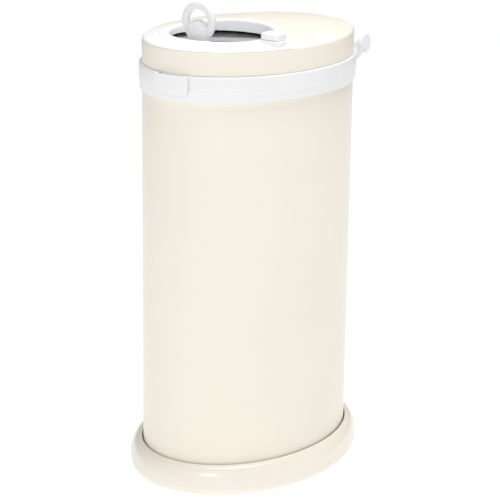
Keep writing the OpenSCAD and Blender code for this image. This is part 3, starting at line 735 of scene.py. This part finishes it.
def make_frame():
    edge = arc(-EDGE_R - 0.2, WALL_TOP + FRAME_RISE, EDGE_R, EDGE_R, 30, 90, 8)
    plate_z = FRAME_CUT_Z + FIT
    steps = [(k + 1) / 24 for k in range(24)]
    rings = [oval(A - 0.3, B - 0.3, 0, plate_z)]
    rings += [oval(A + o, B + o, 0, z) for o, z in edge]
    rings += [deck_ring(s, FRAME_RISE) for s in steps]
    rings += [deck_ring(s, FRAME_RISE - FRAME_T) for s in reversed(steps)]
    rings += [oval(A - EDGE_R - 0.5, B - EDGE_R - 0.5, 0, plate_z)]
    plate = mesh_object("frame_plate", *skin(rings))
    boolean(plate, block("back", (-FAR, FAR), (FRAME_Y - FIT, FAR), (DECK_Z - 40, DECK_Z + 40)))
    bevel(plate, 0.35, 2, 60)

    bezel = [(11, 0.1), (10.85, 0.6), (10.4, 1.0), (9.6, 1.3), (8, 1.6), (5, 1.78), (2, 1.8), (0.8, 1.72),
             (-0.3, 1.4), (-1.1, 0.8), (-1.6, 0.0), (-1.85, -1.0)]
    rings = [edge_ring(q, dz) for q, dz in bezel]
    rings += [edge_ring(q, 0, z) for q, z in ((-1.9, COLLAR_Z + 0.7), (-1.7, COLLAR_Z + 0.2),
                                              (-1.3, COLLAR_Z), (-0.8, COLLAR_Z), (-0.45, COLLAR_Z + 0.2),
                                              (-0.3, COLLAR_Z + 0.7))]
    rings += [edge_ring(-0.3, 0.1)]
    trim = mesh_object("frame_bezel", *skin(rings))

    outline = round_rect(LOCK_X, LOCK_Y - 2.15, 32, 19.7, 4.5)
    levels = [(0, FRAME_CUT_Z + 1.2), (0, LAND_TOP - 2.4), (0.15, LAND_TOP - 1.2),
              (0.45, LAND_TOP - 0.5), (1.0, LAND_TOP - 0.12), (1.7, LAND_TOP)]
    land = stacked("frame_land", outline, levels)
    for part in (land, plate, trim):
        boolean(part, block("slot", (LOCK_X - 11.5, LOCK_X + 3.5), (LOCK_Y - 3.8, LOCK_Y + 3.8),
                            (DECK_Z - 10, DECK_Z + 30)))
    posts = [turned("frame_post", rod_profile(4, TRAY_TOP, DECK_Z), (side * x, y, 0), seg=32)
             for side in (-1, 1) for x, y in LID_SCREWS]
    piece(join("lid_frame_moulding", plate, trim, land, *posts), "lid", "white_plastic", "lid_frame")


def rail(side):
    """C-shaped rail that holds the door's runner, with the lock's window."""
    x0, x1, seat, lip = RAIL_X, RAIL_X + 3, RAIL_X - 4, RAIL_X - 2.6
    outline = rounded([
        (x0 - 1.5, TRAY_Z + 0.5, 0), (x1, TRAY_Z + 0.5, 0), (x1, CARRIER_Z + 6.3, 0.6),
        (lip, CARRIER_Z + 6.3, 0.5), (lip, CARRIER_Z + 3.8, 0.3), (x0, CARRIER_Z + 3.8, 0),
        (x0, CARRIER_Z - FIT, 0), (seat, CARRIER_Z - FIT, 0.4), (seat, CARRIER_Z - 4.5, 0.4),
        (x0 - 1.5, CARRIER_Z - 4.5, 0)], 3)
    outline = [(side * x, z) for x, z in outline]
    obj = prism("rail", outline, "Y", *RAIL_Y)
    x = sorted((side * (seat - 1), side * (x1 + 1)))
    return boolean(obj, block("window", x, (LOCK_Y - 5.25, LOCK_Y + 5.25), (CARRIER_Z - FIT, DECK_Z)))


def make_tray():
    a, b = A - COVER_T - 0.4, B - COVER_T - 0.4
    wall = lambda q, z: oval(CHUTE_A + q, CHUTE_B + q, CHUTE_Y, z)
    rings = [oval(a - 0.4, b - 0.4, 0, TRAY_Z), oval(a, b, 0, TRAY_Z + 0.4), oval(a, b, 0, TRAY_TOP - 0.6),
             oval(a - 0.6, b - 0.6, 0, TRAY_TOP)]
    rings += [wall(CHUTE_WALL + 2.2, TRAY_TOP), wall(CHUTE_WALL + 0.7, TRAY_TOP + 0.6),
              wall(CHUTE_WALL, TRAY_TOP + 2.2), wall(CHUTE_WALL, CHUTE_TOP - 1)]
    rings += [wall(CHUTE_WALL - 1 + math.cos(t), CHUTE_TOP - 1 + math.sin(t)) for t in (0.5, 1.05, 1.57)]
    rings += [wall(1 - math.sin(t), CHUTE_TOP - 1 + math.cos(t)) for t in (0.0, 0.52, 1.05, 1.57)]
    rings += [wall(0, CHUTE_BOTTOM + 1.8)]
    rings += [wall(2 - 2 * math.cos(t), CHUTE_BOTTOM + 2 - 2 * math.sin(t)) for t in (0.4, 0.8, 1.2, 1.57)]
    rings += [wall(2 + 2 * math.sin(t), CHUTE_BOTTOM + 2 - 2 * math.cos(t)) for t in (0.4, 0.8, 1.2, 1.57)]
    rings += [wall(CHUTE_WALL, TRAY_Z - 2.2), wall(CHUTE_WALL + 0.7, TRAY_Z - 0.7),
              wall(CHUTE_WALL + 2.2, TRAY_Z)]
    tray = mesh_object("tray", *skin(rings))

    ring = arc(HINGE_Y, HINGE_Z, BARREL_R, BARREL_R, -180, 90, 60)
    outline = ring + [(B - 12, TRAY_Z + ARM_T), (B - ARM_IN, TRAY_Z + ARM_T - 3.5), (B - ARM_IN, TRAY_Z)]
    outline += [(HINGE_Y - BARREL_R - 0.6, TRAY_Z)]
    knuckle = bevel(prism("knuckle", outline, "X", -KNUCKLE_X, KNUCKLE_X), 0.8, 3, 50)
    piece(join("lid_tray_moulding", tray, knuckle, rail(1), rail(-1)), "lid", "inner_plastic", "lid_tray")

    z0, z1 = CHUTE_TOP, CARRIER_Z - FIT
    seal = rounded([(0.5, z0, 0.2), (3.5, z0, 0.2), (3.3, z1, 0.9), (0.7, z1, 0.9)], 5)
    piece(swept("door_seal_lip", seal, CHUTE_A, CHUTE_B, CHUTE_Y), "lid", "grey_rubber", "door_seal")


# ---- Door ----

def make_door():
    z0, z1 = PANEL_Z, DOOR_TOP
    profile = [(-0.4, z0), (-0.1, z0 + 0.12), (0, z0 + 0.4), (0, z1 - 0.5), (-0.15, z1 - 0.15), (-0.5, z1)]
    panel = swept_plate("door_panel_steel", profile, DOOR_A, DOOR_B, OPEN_Y)
    piece(panel, "door", "door_steel", "door_panel", sharp=50)


def make_handle():
    """Ring, disc boss and foot, fused and softened as one moulding."""
    half = RING_T / 2
    mid, out = RING_R - RING_BAND / 2, RING_BAND / 2
    section = rounded([(out, -half, 3.2), (out, half, 3.2), (-out, half, 3.2), (-out, -half, 3.2)], 6)
    rings = []
    for i in range(120):
        t = 2 * math.pi * i / 120
        rings.append([((mid + u) * math.cos(t), RING_Y + v, RING_Z + (mid + u) * math.sin(t))
                      for u, v in section])
    hoop = mesh_object("hoop", *skin(rings))
    edge = rod_profile(DISC_R + 1.6, -half, half, 1.6, 5)
    boss = turned("boss", edge, (0, RING_Y, DISC_Z), "Y", 96)
    w, top = DISC_R + 1, DOOR_TOP + DISC_R + 8
    neck_outline = [(-w, DOOR_TOP), (w, DOOR_TOP), (w, top), (-w, top)]
    neck = bevel(prism("neck", neck_outline, "Y", RING_Y - half, RING_Y + half), 1.2, 3)
    foot = stacked("foot", round_rect(0, ring_lo[1] + 6, 2 * DISC_R + 6, 12, 1.5),
                   [(0, DOOR_TOP), (0, DOOR_TOP + 4), (0.3, DOOR_TOP + 4.7), (1, DOOR_TOP + 5)])
    handle = join("ring_handle_moulding", hoop, boss, neck, foot)
    mod = handle.modifiers.new("fuse", "REMESH")
    mod.mode, mod.voxel_size = "VOXEL", 0.55 * MM
    mod = handle.modifiers.new("soften", "SMOOTH")
    mod.factor, mod.iterations = 0.5, 8
    bake(handle)
    hole = turned("hole", [(DISC_R + 0.2, -12), (DISC_R + 0.2, DISC_T / 2 + 0.2)],
                  (0, RING_Y, DISC_Z), "Y", 96)
    boolean(handle, hole)
    piece(handle, "door", "handle_plastic", "ring_handle", sharp=60)

    t = DISC_T / 2
    front = [(DISC_R - 0.9, t), (DISC_R - 1.6, t - 0.35), (DISC_R - 2.4, t - 0.35), (DISC_R - 3, t),
             (0.3, t)]
    profile = [(0.3, -t), (DISC_R - 3, -t), (DISC_R - 2.4, 0.35 - t), (DISC_R - 1.6, 0.35 - t),
               (DISC_R - 0.9, -t), (DISC_R - 0.3, 0.25 - t), (DISC_R, 0.9 - t), (DISC_R, t - 0.9),
               (DISC_R - 0.3, t - 0.25)] + front
    disc = turned("handle_disc_inset", profile, (0, RING_Y, DISC_Z), "Y", 96)
    piece(disc, "door", "grey_plastic", "handle_disc")


# ---- Child lock ----

def make_lock():
    z0 = LAND_TOP + FIT
    top = z0 + KNOB_H
    outline = round_rect(LOCK_X, LOCK_Y, KNOB_W, KNOB_L, 4)
    levels = [(0.5, z0), (0.15, z0 + 0.2), (0, z0 + 0.6), (0, top - 3.4), (0.2, top - 2.4), (0.6, top - 1.7),
              (1.2, top - 1.25), (2.0, top - 1.0)]
    knob = stacked("knob", outline, levels)
    grips = []
    for k in range(4):
        x = LOCK_X - 6 + 4 * k
        grips.append(stacked("grip", round_rect(x, LOCK_Y, 1.8, KNOB_L - 7, 0.85, 5),
                             [(0, top - 1.3), (0.05, top - 0.5), (0.3, top - 0.12), (0.6, top)]))
    stem = block("stem", (LOCK_X - 3, LOCK_X + 3), (LOCK_Y - 3.5, LOCK_Y + 3.5),
                 (CARRIER_Z + FIT, z0 + 1))
    bolt = bevel(block("bolt", (BOLT_TIP, LOCK_X + 3), (LOCK_Y - 3.75, LOCK_Y + 3.75),
                       (CARRIER_Z + FIT, PANEL_Z - FIT)), 0.5, 3)
    piece(join("lock_slider_moulding", knob, stem, bolt, *grips), "lock", "white_plastic", "lock_slider")


# ---- CAD nodes that stay ----

def soften(node, width):
    """Rounded edges for a CAD node that is shown as it is."""
    weld = node.modifiers.new("weld", "WELD")
    weld.merge_threshold = 0.01 * MM
    mod = node.modifiers.new("round", "BEVEL")
    mod.width, mod.segments = width * MM, 2
    mod.limit_method, mod.angle_limit = "ANGLE", math.radians(40)


def dress_nodes():
    for name, node in frame["nodes"].items():
        node.data.materials.clear()
        node.data.materials.append(finishes[slot_of[name]])
        if not node.hide_render:
            soften(node, 0.25)


# ---- Stage, light and camera ----

def make_stage():
    floor = mesh_object("floor", [(-9000, -9000, 0), (9000, -9000, 0), (9000, 9000, 0), (-9000, 9000, 0)],
                        [(0, 1, 2, 3)])
    m = Nodes("floor_white")
    m.shader.inputs["Base Color"].default_value = (0.3, 0.3, 0.3, 1)
    m.shader.inputs["Roughness"].default_value = 0.9
    m.shader.inputs["Specular IOR Level"].default_value = 0
    m.shader.inputs["Emission Color"].default_value = (1, 1, 1, 1)
    m.shader.inputs["Emission Strength"].default_value = 0.86
    floor.data.materials.append(m.mat)


def make_flag():
    """Dark curved card behind the bin, seen only in reflections, as a studio uses for polished steel."""
    turn = [math.radians(125.6 + a) for a in range(-80, 81, 10)]
    low, high = ([(3000 * math.cos(t), 3000 * math.sin(t), z) for t in turn] for z in (20, 4200))
    n = len(turn)
    card = mesh_object("flag_card", low + high, [(i, i + 1, n + i + 1, n + i) for i in range(n - 1)])
    m = Nodes("flag_grey")
    m.shader.inputs["Base Color"].default_value = (0.12, 0.12, 0.125, 1)
    m.shader.inputs["Roughness"].default_value = 1.0
    card.data.materials.append(m.mat)
    card.visible_camera = card.visible_diffuse = card.visible_shadow = False


def area_light(name, place, aim, size, power, color=(1, 1, 1)):
    light = bpy.data.lights.new(name, "AREA")
    light.shape, light.size, light.energy, light.color = "SQUARE", size, power, color
    obj = bpy.data.objects.new(name, light)
    obj.location = place
    obj.rotation_euler = (Vector(aim) - Vector(place)).to_track_quat("-Z", "Y").to_euler()
    bpy.context.scene.collection.objects.link(obj)


def make_light():
    world = bpy.data.worlds.new("studio")
    bpy.context.scene.world = world
    world.use_nodes = True
    tree = world.node_tree
    background = tree.nodes["Background"]
    background.inputs["Color"].default_value = (1, 1, 1, 1)
    background.inputs["Strength"].default_value = 0.46
    seen = tree.nodes.new("ShaderNodeBackground")
    seen.inputs["Strength"].default_value = 1.1
    seen.inputs["Color"].default_value = (1, 1, 1, 1)
    path = tree.nodes.new("ShaderNodeLightPath")
    mix = tree.nodes.new("ShaderNodeMixShader")
    tree.links.new(path.outputs["Is Camera Ray"], mix.inputs[0])
    tree.links.new(background.outputs[0], mix.inputs[1])
    tree.links.new(seen.outputs[0], mix.inputs[2])
    tree.links.new(mix.outputs[0], tree.nodes["World Output"].inputs["Surface"])
    area_light("key", (1.1, -2.3, 1.4), (0, 0, 0.3), 1.0, 15)
    area_light("top", (0.2, 0.2, 2.4), (0, 0, 0.5), 1.2, 36)


def make_camera():
    data = bpy.data.cameras.new("camera")
    data.sensor_fit, data.sensor_width = "HORIZONTAL", 36
    data.lens = 132.53
    data.shift_x, data.shift_y = 0.0057, -0.0091
    data.clip_end = 50
    camera = bpy.data.objects.new("camera", data)
    camera.location = (1.32372, -1.86355, 0.95984)
    camera.rotation_euler = [math.radians(d) for d in (73.4815, -0.6850, 35.5901)]
    bpy.context.scene.collection.objects.link(camera)
    bpy.context.scene.camera = camera


make_base()
make_pan()
make_body()
make_rim()
make_hinge_caps()
make_latch()
make_latch_spring()
make_cover()
make_frame()
make_tray()
make_door()
make_handle()
make_lock()
dress_nodes()
make_stage()
make_flag()
make_light()
make_camera()
bpy.context.scene.view_settings.view_transform = "Standard"
